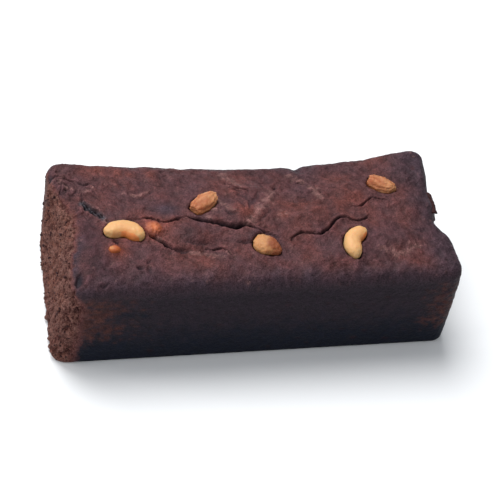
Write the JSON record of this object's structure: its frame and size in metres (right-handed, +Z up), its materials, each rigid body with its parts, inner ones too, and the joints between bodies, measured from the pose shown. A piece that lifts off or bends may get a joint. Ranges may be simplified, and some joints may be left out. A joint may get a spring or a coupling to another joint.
{
  "type": "fruit cake loaf",
  "caption": "Whole dark fruit cake loaf with a lumpy, cracked crust, porous walls and pale nuts and fruit sunk into its top.",
  "frame": {"origin": "the middle of the flat base", "axes": "+X along the loaf, +Y from its front to its back, +Z up"},
  "size_m": [0.2439, 0.1033, 0.0692],
  "materials": {
    "crust": "dark brown baked crust, matte with a soft sheen, lumpy, cracked and finely pitted",
    "nut": "pale golden roasted nut, smooth with a soft sheen, browner in its hollow",
    "toasted_nut": "toasted broken nut, tan with darker grooves along its length",
    "fruit": "orange-brown candied fruit, slightly shiny, darker towards its edges"
  },
  "bodies": {
    "root": {"cake": "crust", "cashew": "nut", "cashew_right": "nut", "nut_half": "nut", "almond_piece": "toasted_nut", "almond_right": "toasted_nut", "fruit_lump": "fruit", "nut_bit": "fruit"}
  },
  "joints": []
}
